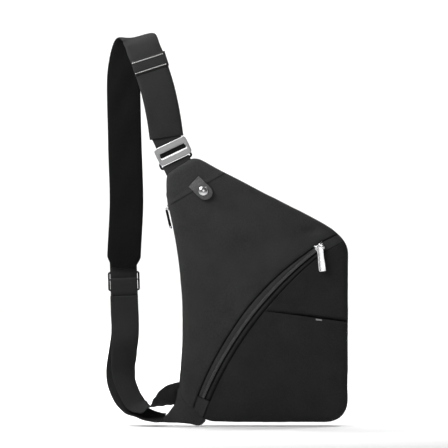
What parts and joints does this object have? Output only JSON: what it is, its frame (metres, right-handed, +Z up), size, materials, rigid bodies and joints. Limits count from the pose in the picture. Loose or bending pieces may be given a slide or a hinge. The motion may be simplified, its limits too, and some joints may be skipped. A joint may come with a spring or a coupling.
{
  "type": "sling bag",
  "caption": "Slim one-shoulder sling bag with a tapered flat body, curved front zip, side zip, snap tab, hook buckle and an adjustable webbing strap.",
  "frame": {"origin": "the point under the crest of the shoulder strap where the bag hangs", "axes": "+X to the wearer's left across the front face, +Y from the front face to the back panel, +Z up"},
  "size_m": [0.3132, 0.066, 0.5088],
  "materials": {
    "fabric": "black woven polyester",
    "lining": "thin woven lining",
    "foam": "thin padded back, covered",
    "webbing": "ribbed black webbing",
    "nylon_coil": "black nylon coil",
    "leather": "dark grey coated leather",
    "nickel": "polished nickel plate",
    "gunmetal": "satin gunmetal",
    "black_steel": "black enamelled wire",
    "black_rubber": "black moulded rubber",
    "thread": "white thread"
  },
  "bodies": {
    "bag": {"back_panel": "fabric", "back_foam": "foam", "divider_panel": "lining", "gusset": "fabric", "front_panel": "fabric", "tip_yoke": "fabric", "lower_front_panel": "fabric", "slip_pocket_panel": "fabric", "pocket_tag": "leather", "front_zip_tape_outer": "fabric", "front_zip_tape_inner": "fabric", "front_zip_coil_outer": "nylon_coil", "front_zip_coil_inner": "nylon_coil", "front_zip_garage_end": "fabric", "front_zip_garage_top": "fabric", "side_zip_tape_front": "fabric", "side_zip_tape_back": "fabric", "side_zip_coil_front": "nylon_coil", "side_zip_coil_back": "nylon_coil", "snap_stud": "nickel", "tip_loop": "fabric", "strap_neck": "webbing", "shoulder_strap": "webbing", "keeper_band": "webbing", "keeper_stitch_upper": "thread", "keeper_stitch_lower": "thread", "webbing_front_layer": "webbing", "webbing_rear_layer": "webbing", "corner_tab": "fabric"},
    "front_slider": {"front_zip_slider": "nickel"},
    "front_pull": {"front_zip_pull": "nickel"},
    "side_slider": {"side_zip_slider": "nickel"},
    "side_pull": {"side_pull_eye": "nickel", "side_zip_pull": "black_rubber", "side_pull_tip": "nickel"},
    "snap_flap": {"snap_tab": "leather", "snap_cap": "nickel", "snap_socket": "nickel"},
    "buckle": {"hook_buckle": "gunmetal"},
    "ring": {"tip_ring": "black_steel"},
    "adjuster": {"strap_slider": "black_steel", "webbing_loop_end": "webbing"}
  },
  "joints": [
    {"name": "front_zip_travel", "type": "hinge", "parent": "bag", "child": "front_slider", "pos_m": [0.5202, -0.0265, -0.646], "axis": [0, -1, 0], "range_deg": [0, 29]},
    {"name": "front_pull_swing", "type": "hinge", "parent": "front_slider", "child": "front_pull", "pos_m": [0.23547, -0.0286, -0.26849], "axis": [-0.9939, 0, -0.11], "range_deg": [0, 150]},
    {"name": "side_zip_travel", "type": "hinge", "parent": "bag", "child": "side_slider", "pos_m": [-0.569, -0.008, -0.3676], "axis": [0, 1, 0], "range_deg": [0, 18.5]},
    {"name": "side_pull_swing", "type": "hinge", "parent": "side_slider", "child": "side_pull", "pos_m": [0.03723, -0.008, -0.21805], "axis": [0, 1, 0], "range_deg": [0, 140]},
    {"name": "snap_tab_open", "type": "hinge", "parent": "bag", "child": "snap_flap", "pos_m": [0.0729, -0.0259, -0.1838], "axis": [-0.694, 0, -0.72], "range_deg": [0, 150]},
    {"name": "buckle_swing", "type": "hinge", "parent": "bag", "child": "buckle", "pos_m": [0.0461, -0.013, -0.1446], "axis": [0.9033, 0, 0.4289], "range_deg": [-3, 11]},
    {"name": "ring_swing", "type": "hinge", "parent": "bag", "child": "ring", "pos_m": [0.05089, -0.0138, -0.15959], "axis": [0.9033, 0, 0.4289], "range_deg": [-12, 3.5]},
    {"name": "adjuster_slide", "type": "slide", "parent": "bag", "child": "adjuster", "axis": [0.0329, 0, -0.9995], "range_m": [0, 0.04]}
  ],
  "couplings": [
    {"joint": "ring_swing", "follows": "buckle_swing", "ratio": -1.06}
  ]
}
